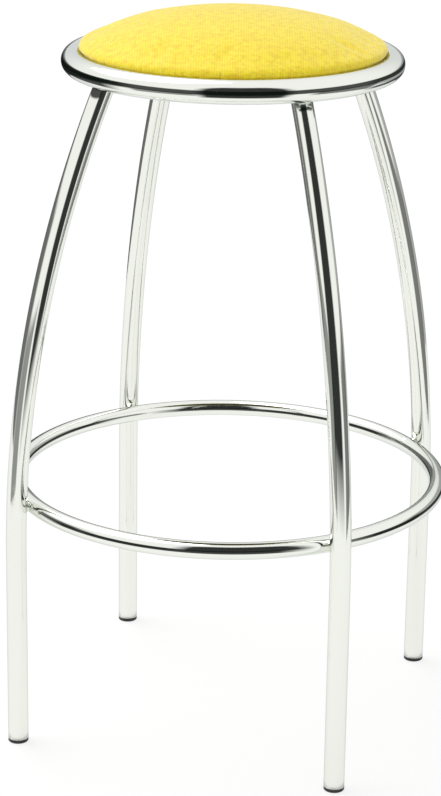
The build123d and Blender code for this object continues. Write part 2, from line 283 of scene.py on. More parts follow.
def woven_cloth(name, pad, turn):
    """Yellow plain-woven upholstery cloth: matt, softly hairy, with slubs, and painted shade that darkens the
    gaps between threads.
    """
    material, tree, shader = new_material(name)
    place = add(tree, "ShaderNodeTexCoord").outputs["Object"]
    # Thread spacing is drawn coarser than the real 1 mm or so, or the weave would be lost in the render
    cells = add(tree, "ShaderNodeMapping", {
        "Vector": place, "Rotation": (0, 0, turn), "Scale": [1 / pad.thread] * 3})
    axes = add(tree, "ShaderNodeSeparateXYZ", {0: cells})
    # Every thread is a ridge of its own tone, as yarn from different cones
    ridges, tones = [], []
    for axis in ("X", "Y"):
        angle = add(tree, "ShaderNodeMath", {0: axes.outputs[axis], 1: pi}, operation="MULTIPLY")
        swing = add(tree, "ShaderNodeMath", {0: angle}, operation="SINE")
        ridges.append(add(tree, "ShaderNodeMath", {0: swing}, operation="ABSOLUTE"))
        number = add(tree, "ShaderNodeMath", {0: axes.outputs[axis]}, operation="FLOOR")
        tones.append(add(tree, "ShaderNodeTexWhiteNoise", {"W": number}, noise_dimensions="1D"))
    threads = []
    for across, along in (ridges, ridges[::-1]):
        hump = add(tree, "ShaderNodeMath", {0: along, 1: 0.55, 2: 0.45}, operation="MULTIPLY_ADD")
        threads.append(add(tree, "ShaderNodeMath", {0: across, 1: hump}, operation="MULTIPLY"))
    flat_cells = add(tree, "ShaderNodeCombineXYZ", {0: axes.outputs["X"], 1: axes.outputs["Y"], 2: 0.5})
    over = add(tree, "ShaderNodeTexChecker", {"Vector": flat_cells, "Scale": 1}).outputs["Fac"]
    weave = add(tree, "ShaderNodeMix", {0: over, 2: threads[0], 3: threads[1]}, data_type="FLOAT")
    tone = add(tree, "ShaderNodeMix", {0: over, 2: tones[0], 3: tones[1]}, data_type="FLOAT")
    # Slubs: thicker, darker stretches of thread, about 2 mm wide and 12 mm long
    slub_place = add(tree, "ShaderNodeMapping", {"Vector": cells, "Scale": (1.3, 0.22, 1)})
    slubs = add(tree, "ShaderNodeTexNoise", {"Vector": slub_place, "Scale": 1, "Detail": 3})
    fibres = add(tree, "ShaderNodeTexNoise", {"Vector": place, "Scale": 1 / (0.5 * MM), "Detail": 4})
    # Dyeing varies over patches about 60 mm wide, and over mottles of about 6 mm
    dye = add(tree, "ShaderNodeTexNoise", {"Vector": place, "Scale": 1 / (60 * MM), "Detail": 2})
    mottles = add(tree, "ShaderNodeTexNoise", {"Vector": place, "Scale": 1 / (6 * MM), "Detail": 3})
    # Neps: specks of tangled fibre up to 2 mm wide, about one in every 20 mm square, of uneven size
    nep_place = add(tree, "ShaderNodeMapping", {"Vector": flat_cells, "Scale": (0.13, 0.13, 1)})
    neps = add(tree, "ShaderNodeTexVoronoi", {"Vector": nep_place, "Scale": 1}, voronoi_dimensions="2D")
    nep_size = add(tree, "ShaderNodeMapRange", {0: neps.outputs["Color"], 1: 0.4, 2: 0.9, 3: 0, 4: 0.07})
    nep = add(tree, "ShaderNodeMapRange", {0: neps, 2: nep_size, 3: 0.5, 4: 0})
    dyed = add(tree, "ShaderNodeMath", {0: dye, 1: tone}, operation="MULTIPLY")
    # Painted shade: the gaps between threads are darkened towards the deep colour, as if the threads shaded
    # them
    gap = add(tree, "ShaderNodeMapRange", {0: weave, 1: 0.05, 2: 0.55, 3: 0.5, 4: 0})
    mottle = add(tree, "ShaderNodeMapRange", {0: mottles, 1: 0.42, 2: 0.75, 3: 0, 4: 0.6})
    slub = add(tree, "ShaderNodeMapRange", {0: slubs, 1: 0.56, 2: 0.72, 3: 0, 4: 0.5})
    darker = add(tree, "ShaderNodeMath", {0: mottle, 1: slub}, operation="MAXIMUM")
    # The deep colour serves both the painted shade in the gaps and the darker dye of mottles and slubs
    deep_dye_and_shade = [c * s for c, s in zip(pad.cloth_colour, (0.78, 0.56, 0.22))]
    pale = [min(1, c * s) for c, s in zip(pad.cloth_colour, (1.02, 1.05, 4.0))]
    colour = (*pad.cloth_colour, 1)
    for share, layer in ((dyed, pale), (gap, deep_dye_and_shade), (darker, deep_dye_and_shade), (nep, linear("6E6A26"))):
        mixed = add(tree, "ShaderNodeMix", {0: share, 6: colour, 7: (*layer, 1)}, data_type="RGBA")
        colour = mixed.outputs[2]
    surface = add(tree, "ShaderNodeMath", {0: fibres, 1: 0.25, 2: weave}, operation="MULTIPLY_ADD")
    bump = add(tree, "ShaderNodeBump", {"Strength": 0.5, "Distance": 0.4 * MM, "Height": surface})
    connect(tree, shader, {
        "Base Color": colour, "Roughness": 0.6, "Specular IOR Level": 0.35, "Sheen Weight": 0.4,
        "Sheen Roughness": 0.4, "Normal": bump})
    return material


def finish(name, make, *values):
    """A finish by name, made the first time it is asked for."""
    return bpy.data.materials.get(name) or make(name, *values)


def dress(node, material):
    """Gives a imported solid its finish."""
    for material_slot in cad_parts[node].material_slots:
        material_slot.material = material


# Meshes and Geometry Nodes

def new_piece(name, mesh):
    """Puts a mesh in the scene."""
    piece = bpy.data.objects.new(name, mesh)
    bpy.context.scene.collection.objects.link(piece)
    return piece


def settle(piece):
    """Turns a piece with its modifiers into a plain mesh."""
    depsgraph = bpy.context.evaluated_depsgraph_get()
    mesh = bpy.data.meshes.new_from_object(
        piece.evaluated_get(depsgraph), preserve_all_data_layers=True, depsgraph=depsgraph)
    piece.modifiers.clear()
    piece.data = mesh


def new_tree(name, sockets):
    """A Geometry Nodes tree with named inputs; returns it with their sockets."""
    tree = bpy.data.node_groups.new(name, "GeometryNodeTree")
    tree.interface.new_socket("Geometry", in_out="INPUT", socket_type="NodeSocketGeometry")
    for label, kind in sockets.items():
        tree.interface.new_socket(label, in_out="INPUT", socket_type=kind)
    tree.interface.new_socket("Geometry", in_out="OUTPUT", socket_type="NodeSocketGeometry")
    return tree, add(tree, "NodeGroupInput").outputs


def end_tree(tree, start, geometry):
    """Ends a tree: real geometry, smooth, with the finish on it."""
    real = add(tree, "GeometryNodeRealizeInstances", {"Geometry": geometry})
    smooth = add(tree, "GeometryNodeSetShadeSmooth", {"Geometry": real})
    painted = add(tree, "GeometryNodeSetMaterial", {"Geometry": smooth, "Material": start["Finish"]})
    add(tree, "NodeGroupOutput", {"Geometry": painted})


def grow(piece, tree, **values):
    """Runs a tree on a piece with these inputs and keeps the result as a plain mesh."""
    modifier = piece.modifiers.new(tree.name, "NODES")
    modifier.node_group = tree
    for item in tree.interface.items_tree:
        key = item.name.lower().replace(" ", "_")
        if item.in_out == "INPUT" and key in values:
            modifier[item.identifier] = values[key]
    settle(piece)


def tube_tree():
    """Sweeps a round tube along the object's edges and cuts it level at a height."""
    tree, start = new_tree("Bent Tube", {
        "Diameter": "NodeSocketFloat", "Sides": "NodeSocketInt", "Cut Height": "NodeSocketFloat",
        "Finish": "NodeSocketMaterial"})
    path = add(tree, "GeometryNodeMeshToCurve", {"Mesh": start["Geometry"]})
    heading = add(tree, "GeometryNodeInputTangent")
    headed = add(tree, "GeometryNodeStoreNamedAttribute", {
        "Geometry": path, "Name": "heading", "Value": heading}, data_type="FLOAT_VECTOR")
    run = add(tree, "GeometryNodeSplineParameter")
    measured = add(tree, "GeometryNodeStoreNamedAttribute", {
        "Geometry": headed, "Name": "run", "Value": run.outputs["Length"]}, data_type="FLOAT")
    radius = add(tree, "ShaderNodeMath", {0: start["Diameter"], 1: 0.5}, operation="MULTIPLY")
    section = add(tree, "GeometryNodeCurvePrimitiveCircle", {"Resolution": start["Sides"], "Radius": radius})
    spot = add(tree, "GeometryNodeInputPosition")
    placed = add(tree, "GeometryNodeStoreNamedAttribute", {
        "Geometry": section, "Name": "section", "Value": spot}, data_type="FLOAT_VECTOR")
    tube = add(tree, "GeometryNodeCurveToMesh", {"Curve": measured, "Profile Curve": placed})
    # Points above the cut slide down along the tube to the cutting plane
    along = add(tree, "GeometryNodeInputNamedAttribute", {"Name": "heading"}, data_type="FLOAT_VECTOR")
    along_z = add(tree, "ShaderNodeSeparateXYZ", {0: along})
    point_z = add(tree, "ShaderNodeSeparateXYZ", {0: spot})
    excess = add(tree, "ShaderNodeMath", {
        0: start["Cut Height"], 1: point_z.outputs["Z"]}, operation="SUBTRACT")
    share = add(tree, "ShaderNodeMath", {0: excess, 1: along_z.outputs["Z"]}, operation="DIVIDE")
    slide = add(tree, "ShaderNodeVectorMath", {0: along, "Scale": share}, operation="SCALE")
    above = add(tree, "ShaderNodeMath", {0: excess, 1: 0.0}, operation="LESS_THAN")
    cut = add(tree, "GeometryNodeSetPosition", {"Geometry": tube, "Selection": above, "Offset": slide})
    # Place on the tube's own surface: across the section and along the run
    across = add(tree, "GeometryNodeInputNamedAttribute", {"Name": "section"}, data_type="FLOAT_VECTOR")
    axes = add(tree, "ShaderNodeSeparateXYZ", {0: across})
    run_length = add(tree, "GeometryNodeInputNamedAttribute", {"Name": "run"}, data_type="FLOAT")
    tube_place = add(tree, "ShaderNodeCombineXYZ", {
        0: axes.outputs["X"], 1: axes.outputs["Y"], 2: run_length})
    mapped = add(tree, "GeometryNodeStoreNamedAttribute", {
        "Geometry": cut, "Name": "tube_place", "Value": tube_place}, data_type="FLOAT_VECTOR")
    end_tree(tree, start, mapped)
    return tree


def weld_tree():
    """Lays a rippled bead in a loop round each joint; every point of the object is a joint and its turn."""
    tree, start = new_tree("Weld Ripples", {
        "Ripples": "NodeSocketInt", "Bead Radius": "NodeSocketFloat", "Loop Width": "NodeSocketFloat",
        "Loop Height": "NodeSocketFloat", "Seed": "NodeSocketInt", "Finish": "NodeSocketMaterial"})
    points_in_ripple, bead_sides = 8, 12
    neck, least_swell, most_swell = 0.75, 0.2, 0.42
    points = add(tree, "ShaderNodeMath", {0: start["Ripples"], 1: points_in_ripple}, operation="MULTIPLY")
    loop = add(tree, "GeometryNodeCurvePrimitiveCircle", {"Resolution": points, "Radius": 1})
    stretch = add(tree, "ShaderNodeCombineXYZ", {0: start["Loop Width"], 1: start["Loop Height"], 2: 1})
    oval = add(tree, "GeometryNodeTransform", {"Geometry": loop, "Scale": stretch})
    # A ripple is a rounded lens of metal, each a little larger or smaller than the one before
    share = add(tree, "GeometryNodeSplineParameter")
    run = add(tree, "ShaderNodeMath", {0: share, 1: start["Ripples"]}, operation="MULTIPLY")
    number = add(tree, "ShaderNodeMath", {0: run}, operation="FLOOR")
    within = add(tree, "ShaderNodeMath", {0: run, 1: number}, operation="SUBTRACT")
    angle = add(tree, "ShaderNodeMath", {0: within, 1: pi}, operation="MULTIPLY")
    swing = add(tree, "ShaderNodeMath", {0: angle}, operation="SINE")
    lens = add(tree, "ShaderNodeMath", {0: swing, 1: 0.5}, operation="POWER")
    uneven = add(tree, "FunctionNodeRandomValue", {
        2: least_swell, 3: most_swell, "ID": number, "Seed": start["Seed"]}, data_type="FLOAT")
    size = add(tree, "ShaderNodeMath", {0: lens, 1: uneven.outputs[1], 2: neck}, operation="MULTIPLY_ADD")
    rippled = add(tree, "GeometryNodeSetCurveRadius", {"Curve": oval, "Radius": size})
    section = add(tree, "GeometryNodeCurvePrimitiveCircle", {
        "Resolution": bead_sides, "Radius": start["Bead Radius"]})
    bead = add(tree, "GeometryNodeCurveToMesh", {"Curve": rippled, "Profile Curve": section})
    turn = add(tree, "GeometryNodeInputNamedAttribute", {"Name": "turn"}, data_type="FLOAT_VECTOR")
    joints = add(tree, "GeometryNodeInstanceOnPoints", {
        "Points": start["Geometry"], "Instance": bead, "Rotation": turn})
    end_tree(tree, start, joints)
    return tree


def staple_tree():
    """Sets a bent wire staple on every point of the object, each a little crooked."""
    tree, start = new_tree("Hem Staples", {
        "Width": "NodeSocketFloat", "Depth": "NodeSocketFloat", "Wire": "NodeSocketFloat",
        "Crooked": "NodeSocketFloat", "Seed": "NodeSocketInt", "Finish": "NodeSocketMaterial"})
    half = add(tree, "ShaderNodeMath", {0: start["Width"], 1: 0.5}, operation="MULTIPLY")
    other = add(tree, "ShaderNodeMath", {0: half, 1: -1}, operation="MULTIPLY")
    sides_and_heights = ((other, start["Depth"]), (other, 0.0), (half, 0.0), (half, start["Depth"]))
    corners = [add(tree, "ShaderNodeCombineXYZ", {1: side, 2: height}) for side, height in sides_and_heights]
    first = add(tree, "GeometryNodeCurvePrimitiveLine", {"Start": corners[0], "End": corners[3]})
    bent = add(tree, "GeometryNodeResampleCurve", {"Curve": first, "Count": 4})
    index = add(tree, "GeometryNodeInputIndex")
    spot = corners[0]
    for number, corner in enumerate(corners[1:], 1):
        here = add(tree, "FunctionNodeCompare", {2: index, 3: number}, data_type="INT", operation="EQUAL")
        spot = add(tree, "GeometryNodeSwitch", {0: here, 1: spot, 2: corner}, input_type="VECTOR")
    shaped = add(tree, "GeometryNodeSetPosition", {"Geometry": bent, "Position": spot})
    rounded = add(tree, "GeometryNodeFilletCurve", {
        "Curve": shaped, "Radius": start["Wire"], "Count": 3}, mode="POLY")
    wire_radius = add(tree, "ShaderNodeMath", {0: start["Wire"], 1: 0.5}, operation="MULTIPLY")
    section = add(tree, "GeometryNodeCurvePrimitiveCircle", {"Resolution": 8, "Radius": wire_radius})
    wire = add(tree, "GeometryNodeCurveToMesh", {
        "Curve": rounded, "Profile Curve": section, "Fill Caps": True})
    least = add(tree, "ShaderNodeMath", {0: start["Crooked"], 1: -1}, operation="MULTIPLY")
    crooked = add(tree, "FunctionNodeRandomValue", {
        2: least, 3: start["Crooked"], "Seed": start["Seed"]}, data_type="FLOAT")
    turn = add(tree, "GeometryNodeInputNamedAttribute", {"Name": "turn"}, data_type="FLOAT_VECTOR")
    skew = add(tree, "ShaderNodeCombineXYZ", {2: crooked.outputs[1]})
    rotation = add(tree, "ShaderNodeVectorMath", {0: turn, 1: skew}, operation="ADD")
    set_out = add(tree, "GeometryNodeInstanceOnPoints", {
        "Points": start["Geometry"], "Instance": wire, "Rotation": rotation})
    end_tree(tree, start, set_out)
    return tree


def spread(first, last, count):
    """Even values from the first to the last."""
    return [first + (last - first) * step / count for step in range(count + 1)]


def path_mesh(name, points, closed=False):
    """Mesh of one chain of edges."""
    mesh = bpy.data.meshes.new(name)
    edges = [(i, i + 1) for i in range(len(points) - 1)]
    if closed:
        edges.append((len(points) - 1, 0))
    mesh.from_pydata(points, edges, [])
    return mesh


def joint_mesh(name, places):
    """Mesh of loose points, each with the turn of what stands on it."""
    mesh = bpy.data.meshes.new(name)
    mesh.from_pydata([place.to_translation() for place in places], [], [])
    turns = mesh.attributes.new("turn", "FLOAT_VECTOR", "POINT")
    for item, place in zip(turns.data, places):
        item.vector = place.to_euler()
    return mesh


def face_outwards(mesh, path):
    """Turns a tube's faces outwards, judged at its first face."""
    face = mesh.polygons[0]
    middle = min(path, key=lambda point: (point - face.center).length)
    if face.normal.dot(face.center - middle) < 0:
        mesh.flip_normals()


def bow(tube):
    """Radius and centre of a leg's bow, which touches the upright foot and the seat ring's inner side."""
    inwards = SEAT_RING - FOOT_SPREAD
    rise = SEAT_RING_HEIGHT - tube.upright
    reach = LEG_TUBE + tube.weld_gap + SEAT_TUBE
    radius = (inwards**2 + rise**2 - reach**2) / (2 * (reach - inwards))
    return radius, FOOT_SPREAD - radius


def leg_path(tube, angle):
    """Centreline of a leg: upright from its glide, then bowed inwards past its level top."""
    radius, centre = bow(tube)
    upright_steps, bow_steps = 24, 96
    outline = [(FOOT_SPREAD, height) for height in spread(LEG_BOTTOM, tube.upright, upright_steps)[:-1]]
    lean = asin((LEG_TOP - tube.upright) / radius)
    lift = LEG_TUBE * sin(lean) + MM
    below = asin((LEG_TOP - lift - tube.upright) / radius)
    above = asin((LEG_TOP + lift - tube.upright) / radius)
    turns = spread(0, below, bow_steps) + [above]
    outline += [(centre + radius * cos(turn), tube.upright + radius * sin(turn)) for turn in turns]
    return [Vector((reach * cos(angle), reach * sin(angle), height)) for reach, height in outline]


def hoop_path(radius, height):
    """Centreline of a hoop, started behind the back right leg, where its ends were welded."""
    steps = 360
    start = radians(45)
    turns = [start + 2 * pi * step / steps for step in range(steps)]
    return [Vector((radius * cos(turn), radius * sin(turn), height)) for turn in turns]


def drill(piece, place, hole, depth, plate):
    """Drills a blind hole in a tube; place is the middle of the drill, which points along its z axis."""
    build = bmesh.new()
    bmesh.ops.create_cone(
        build, cap_ends=True, segments=24, radius1=hole / 2, radius2=hole / 2, depth=depth, matrix=place)
    mesh = bpy.data.meshes.new("drill")
    build.to_mesh(mesh)
    build.free()
    mesh.materials.append(plate)
    bit = new_piece("drill", mesh)
    cut = piece.modifiers.new("Drain Hole", "BOOLEAN")
    cut.object = bit
    settle(piece)
    bpy.data.objects.remove(bit)
    # Points that the drill made take their place on the tube from the nearest older point
    vertices = piece.data.vertices
    spots = piece.data.attributes["tube_place"].data
    older = KDTree(len(vertices))
    for vertex in vertices:
        if any(spots[vertex.index].vector):
            older.insert(vertex.co, vertex.index)
    older.balance()
    for vertex in vertices:
        if not any(spots[vertex.index].vector):
            spots[vertex.index].vector = spots[older.find(vertex.co)[1]].vector


def polish_hoop(mesh, radius, height):
    """Gives a hoop's smooth faces exact normals, so that reflections run straight past the drilled hole."""
    outwards = []
    for vertex in mesh.vertices:
        middle = Vector((*vertex.co.xy, 0)).normalized() * radius + Vector((0, 0, height))
        outwards.append((vertex.co - middle).normalized())
    unset = Vector()
    mesh.normals_split_custom_set(
        [outwards[index] if face.use_smooth else unset for face in mesh.polygons for index in face.vertices])


def leg_angle(corner):
    """Direction of a leg from the stool's axis."""
    foot = foot_place(corner)[0]
    return atan2(foot.y, foot.x)


def weld_place(angle, reach, height, lean):
    """Place on a leg's side: x along the hoop, y up the leaning leg, z out of the leg."""
    spot = Matrix.Rotation(angle, 4, "Z") @ Matrix.Translation((reach, 0, height))
    leaning = spot @ Matrix.Rotation(-lean, 4, "Y")
    return leaning @ Matrix.Rotation(pi / 2, 4, "Y") @ Matrix.Rotation(pi / 2, 4, "Z")


def pad_outline(pad, inset):
    """Half outline of the pad, radii and heights: crown, rolled edge, tucked side and bed in the ring."""
    crown_steps, roll_steps, tuck_steps, bed_steps = 44, 10, 5, 8
    bed = SEAT_TUBE + pad.clearance
    overlap = SEAT_RING - PAD_RADIUS
    roll_height = SEAT_RING_HEIGHT + sqrt(bed**2 - overlap**2) + pad.border
    roll_radius = PAD_RADIUS - pad.edge_roll
    rise = PAD_TOP - roll_height
    crown = (roll_radius**2 + rise**2 - pad.edge_roll**2) / (2 * (rise - pad.edge_roll))
    tilt = atan2(roll_radius, crown - rise)
    points = [((crown - inset) * sin(turn), PAD_TOP - crown + (crown - inset) * cos(turn))
              for turn in spread(0, tilt, crown_steps)]
    roll = pad.edge_roll - inset
    points += [(roll_radius + roll * sin(turn), roll_height + roll * cos(turn))
               for turn in spread(tilt, pi / 2, roll_steps)[1:]]
    side = PAD_RADIUS - inset - pad.border
    tuck_turn = radians(30)
    points += [(side + pad.border * cos(turn), roll_height - pad.border * sin(turn))
               for turn in spread(0, tuck_turn, tuck_steps)[1:]]
    first = asin((overlap + pad.tuck) / bed)
    last = pi / 2 - asin((PAD_BOTTOM - SEAT_RING_HEIGHT) / bed)
    points += [(SEAT_RING - (bed + inset) * sin(turn), SEAT_RING_HEIGHT + (bed + inset) * cos(turn))
               for turn in spread(first, last, bed_steps)]
    return points


def hem_outline(pad, outer):
    """Rest of the outline: the hem under the board, its raw edge, and the recess that the board lies in."""
    gap = 0.1 * MM
    hem_steps = 14
    raw_edge = outer - pad.hem
    hem = [(radius, PAD_BOTTOM) for radius in spread(outer, raw_edge, hem_steps)[1:]]
    recess = BOARD_RADIUS + 2 * gap
    return hem + [
        (raw_edge, BOARD_BOTTOM - gap), (recess, BOARD_BOTTOM - gap), (recess, TEE_NUT_TOP + gap)]


def lathe(mesh_name, outline, steps):
    """Closed mesh of an outline turned about the axis, from a pole at its start to a disc at its end."""
    build = bmesh.new()
    pole = build.verts.new((0, 0, outline[0][1]))
    rings = [
        [build.verts.new((r * cos(2 * pi * s / steps), r * sin(2 * pi * s / steps), z)) for s in range(steps)]
        for r, z in outline[1:]]
    for s in range(steps):
        after = (s + 1) % steps
        build.faces.new((pole, rings[0][s], rings[0][after]))
        for upper, lower in zip(rings, rings[1:]):
            build.faces.new((upper[s], lower[s], lower[after], upper[after]))
    foot = build.verts.new((0, 0, outline[-1][1]))
    for s in range(steps):
        build.faces.new((foot, rings[-1][(s + 1) % steps], rings[-1][s]))
    bmesh.ops.recalc_face_normals(build, faces=build.faces)
    mesh = bpy.data.meshes.new(mesh_name)
    build.to_mesh(mesh)
    build.free()
    return mesh


def swell(pad):
    """Mesh of the filled pad: a short cloth simulation under pressure, with the rim held in the ring."""
    steps_round, last_frame = 160, 20
    piece = new_piece("filling", lathe("filling", pad_outline(pad, pad.slack / 2), steps_round))
    remesh = piece.modifiers.new("Even Cloth", "REMESH")
    remesh.mode = "VOXEL"
    remesh.voxel_size = pad.voxel
    settle(piece)
    start = [vertex.co.copy() for vertex in piece.data.vertices]
    rim = SEAT_RING_HEIGHT + SEAT_TUBE
    held = piece.vertex_groups.new(name="held")
    held.add([i for i, spot in enumerate(start) if spot.z < rim], 1.0, "REPLACE")
    cloth = piece.modifiers.new("Cloth", "CLOTH")
    cloth.settings.use_pressure = True
    cloth.settings.uniform_pressure_force = pad.pressure
    cloth.settings.effector_weights.gravity = 0
    cloth.settings.vertex_group_mass = held.name
    cloth.point_cache.frame_start = 1
    cloth.point_cache.frame_end = last_frame
    scene = bpy.context.scene
    for number in range(1, last_frame + 1):
        scene.frame_set(number)
    settle(piece)
    scene.frame_set(1)
    most = 2 * pad.slack
    for vertex, spot in zip(piece.data.vertices, start):
        move = vertex.co - spot
        if move.length > most:
            vertex.co = spot + move.normalized() * most
    smooth = piece.modifiers.new("Smooth Cloth", "SUBSURF")
    smooth.levels = smooth.render_levels = 1
    settle(piece)
    mesh = piece.data
    bpy.data.objects.remove(piece)
    return mesh


def lay_cloth(mesh, filled):
    """Moves the pad's upper side onto the filled cloth, first brought to the pad's height and width."""
    rim = SEAT_RING_HEIGHT + SEAT_TUBE
    points = [vertex.co for vertex in filled.vertices]
    rise = (PAD_TOP - rim) / (max(point.z for point in points) - rim)
    widen = PAD_RADIUS / max(point.xy.length for point in points)
    spots = [(widen * x, widen * y, rim + rise * (z - rim)) for x, y, z in points]
    cloth = BVHTree.FromPolygons(spots, [face.vertices for face in filled.polygons])
    heart = Vector((0, 0, rim))
    fade = 16 * MM
    for vertex in mesh.vertices:
        lift = vertex.co.z - rim
        if lift > 0:
            spot = cloth.ray_cast(heart, vertex.co - heart)[0]
            vertex.co = vertex.co.lerp(spot, min(1, lift / fade))


def gather_hem(mesh, pad):
    """Gathers the hem in pleats towards its raw edge, flat where a bracket presses on it."""
    outer = SEAT_RING - sqrt((SEAT_TUBE + pad.clearance)**2 - (PAD_BOTTOM - SEAT_RING_HEIGHT)**2)
    pressed, ramp = radians(11), 3
    raw_edge, ragged, ragged_waves = 0.99, 1.5 * MM, 6
    depth, roundness, drift, drift_waves = 1.6 * MM, 0.6, 0.05, 3
    level = 0.1 * MM
    legs = [leg_angle(corner) for corner in CORNERS]
    for vertex in mesh.vertices:
        radius = vertex.co.xy.length
        share = (outer - radius) / pad.hem
        if vertex.co.z > BOARD_BOTTOM or share < 0:
            continue
        turn = atan2(vertex.co.y, vertex.co.x)
        around = vertex.co.xy / radius
        if share > raw_edge:
            wave = noise.noise((ragged_waves * around.x, ragged_waves * around.y, 0.5))
            vertex.co.xy += around * ragged * wave
        if vertex.co.z > PAD_BOTTOM + level:
            continue
        beside = min(abs(remainder(turn - leg, 2 * pi)) for leg in legs)
        turn += drift * noise.noise((drift_waves * around.x, drift_waves * around.y, 2.5))
        fold = abs(sin(pad.pleats * turn / 2)) ** roundness
        vertex.co.z -= depth * share * (1 - fold) * min(1, max(0, beside / pressed - 1) * ramp)


# Stage

# Dark curtains about the stool that only the chrome sees, as the dark sides of a studio behind white paper:
# start and end in degrees to the right of the camera, distance from the stool, bottom and top in metres, how
# dark the curtain is, and the share of its height that is arched
CURTAINS = {
    "front_curtain": (-23, 37, 0.60, 0.19, 1.30, 0.97, 0.4),
    "left_low_curtain": (-72, -20, 1.20, 0.0, 0.50, 0.7),
    "right_low_curtain": (50, 110, 1.20, 0.0, 0.52, 0.8),
    "right_back_curtain": (94, 186, 1.90, 0.0, 0.95, 0.55),
    "left_back_curtain": (174, 296, 1.90, 0.0, 0.95, 0.84),
}
# Dark rails close to the seat ring, whose line is broader at the ring's left end and doubled at its right:
# start and end in degrees to the right of the camera, gap to the tube, bottom and top from the ring's middle
SEAT_RAILS = {
    "seat_rail": (-180, 180, 10 * MM, -6 * MM, 6 * MM),
    "left_skirt": (-115, -40, 4 * MM, -19 * MM, 3 * MM),
    "right_skirt": (50, 112, 4 * MM, -20 * MM, -8 * MM),
}


def seen_directly(tree):
    """One for rays from the camera, in reflections and through glass, zero for light that falls on things."""
    path = add(tree, "ShaderNodeLightPath").outputs
    mirrored = add(
        tree, "ShaderNodeMath", {0: path["Is Camera Ray"], 1: path["Is Glossy Ray"]}, operation="MAXIMUM")
    return add(tree, "ShaderNodeMath", {0: mirrored, 1: path["Is Transmission Ray"]}, operation="MAXIMUM")


def lay_floor():
    """White paper that shows almost white and keeps a faint shadow; from below it is clear."""
    half = 30
    height = -0.2 * MM
    glow_share = 0.8
    corners = [(x, y, height) for x, y in ((-half, -half), (half, -half), (half, half), (-half, half))]
    mesh = bpy.data.meshes.new("floor")
    mesh.from_pydata(corners, [], [(0, 1, 2, 3)])
    material, tree, shader = new_material("white_paper_sweep")
    connect(tree, shader, {"Base Color": (*linear("FBFBFA"), 1), "Roughness": 0.9})
    glow = add(tree, "ShaderNodeEmission", {"Color": (1, 1, 1, 1), "Strength": 1})
    share = add(tree, "ShaderNodeMath", {0: seen_directly(tree), 1: glow_share}, operation="MULTIPLY")
    paper = add(tree, "ShaderNodeMixShader", {0: share, 1: shader, 2: glow})
    side = add(tree, "ShaderNodeNewGeometry")
    clear = add(tree, "ShaderNodeBsdfTransparent")
    one_sided = add(tree, "ShaderNodeMixShader", {0: side.outputs["Backfacing"], 1: paper, 2: clear})
    connect(tree, tree.get_output_node("ALL"), {"Surface": one_sided})
    mesh.materials.append(material)
    new_piece("floor", mesh)


def light_world(scene, stage):
    """White all round to the camera and the chrome, and a softer even light on everything."""
    world = bpy.data.worlds.new("white_studio")
    scene.world = world
    world.use_nodes = True
    tree = world.node_tree
    tree.nodes.clear()
    strength = add(tree, "ShaderNodeMapRange", {0: seen_directly(tree), 3: stage.even_light, 4: 1})
    sky = add(tree, "ShaderNodeBackground", {"Color": (1, 1, 1, 1), "Strength": strength})
    add(tree, "ShaderNodeOutputWorld", {"Surface": sky})


def hang_lamp(stage):
    """One broad lamp, high up behind the stool on the camera's left."""
    left_back_up = Vector((-0.44, 0.28, 0.85))
    lamp = bpy.data.lights.new("broad_lamp", "SUN")
    lamp.energy = stage.lamp_power
    lamp.angle = stage.lamp_breadth
    light = bpy.data.objects.new("broad_lamp", lamp)
    bpy.context.scene.collection.objects.link(light)
    towards = Matrix.Rotation(stage.azimuth, 3, "Z") @ left_back_up
    light.rotation_mode = "QUATERNION"
    light.rotation_quaternion = (-towards).to_track_quat("-Z", "Y")


def black_velvet(name, one_sided=False):
    """Black velvet, clear at its soft edges and, where it is one-sided, from behind."""
    material, tree, shader = new_material(name)
    tree.nodes.remove(shader)
    dark = add(tree, "ShaderNodeEmission", {"Color": (*linear("0E1512"), 1), "Strength": 1})
    clear = add(tree, "ShaderNodeBsdfTransparent")
    cover = add(tree, "ShaderNodeAttribute", attribute_name="cover").outputs["Fac"]
    if one_sided:
        side = add(tree, "ShaderNodeNewGeometry")
        front = add(tree, "ShaderNodeMath", {0: 1, 1: side.outputs["Backfacing"]}, operation="SUBTRACT")
        cover = add(tree, "ShaderNodeMath", {0: cover, 1: front}, operation="MULTIPLY")
    soft = add(tree, "ShaderNodeMixShader", {0: cover, 1: clear, 2: dark})
    connect(tree, tree.get_output_node("ALL"), {"Surface": soft})
    return material


def show_to_chrome(name, points, faces, cover, velvet):
    """A dark piece of the stage that only reflections show; cover says how dark each of its points is."""
    mesh = bpy.data.meshes.new(name)
    mesh.from_pydata(points, [], faces)
    mesh.attributes.new("cover", "FLOAT", "POINT").data.foreach_set("value", cover)
    mesh.materials.append(velvet)
    curtain = new_piece(name, mesh)
    curtain.visible_camera = False
    curtain.visible_diffuse = False
    curtain.visible_shadow = False
    curtain.visible_transmission = False


def hang_curtain(name, azimuth, velvet, start, end, distance, bottom, top, depth, arch=0.01):
    """Part of an upright cylinder about the stool, with soft sides and a soft arched top."""
    columns, rows = 48, 24
    softness = 8
    points, cover = [], []
    for column in range(columns + 1):
        across = column / columns
        turn = azimuth + radians(start + (end - start) * across)
        for row in range(rows + 1):
            up = row / rows
            points.append((distance * sin(turn), -distance * cos(turn), bottom + (top - bottom) * up))
            drawn_in = (1 - sqrt(1 - max(0, 1 - (1 - up) / arch) ** 2)) / 2
            edge = min(across - drawn_in, 1 - across - drawn_in, 1 - up, up + (bottom == 0))
            cover.append(depth * min(1, max(0, edge * softness)))
    faces = [
        (a, a + rows + 1, a + rows + 2, a + 1)
        for column in range(columns) for a in range(column * (rows + 1), column * (rows + 1) + rows)]
    show_to_chrome(name, points, faces, cover, velvet)


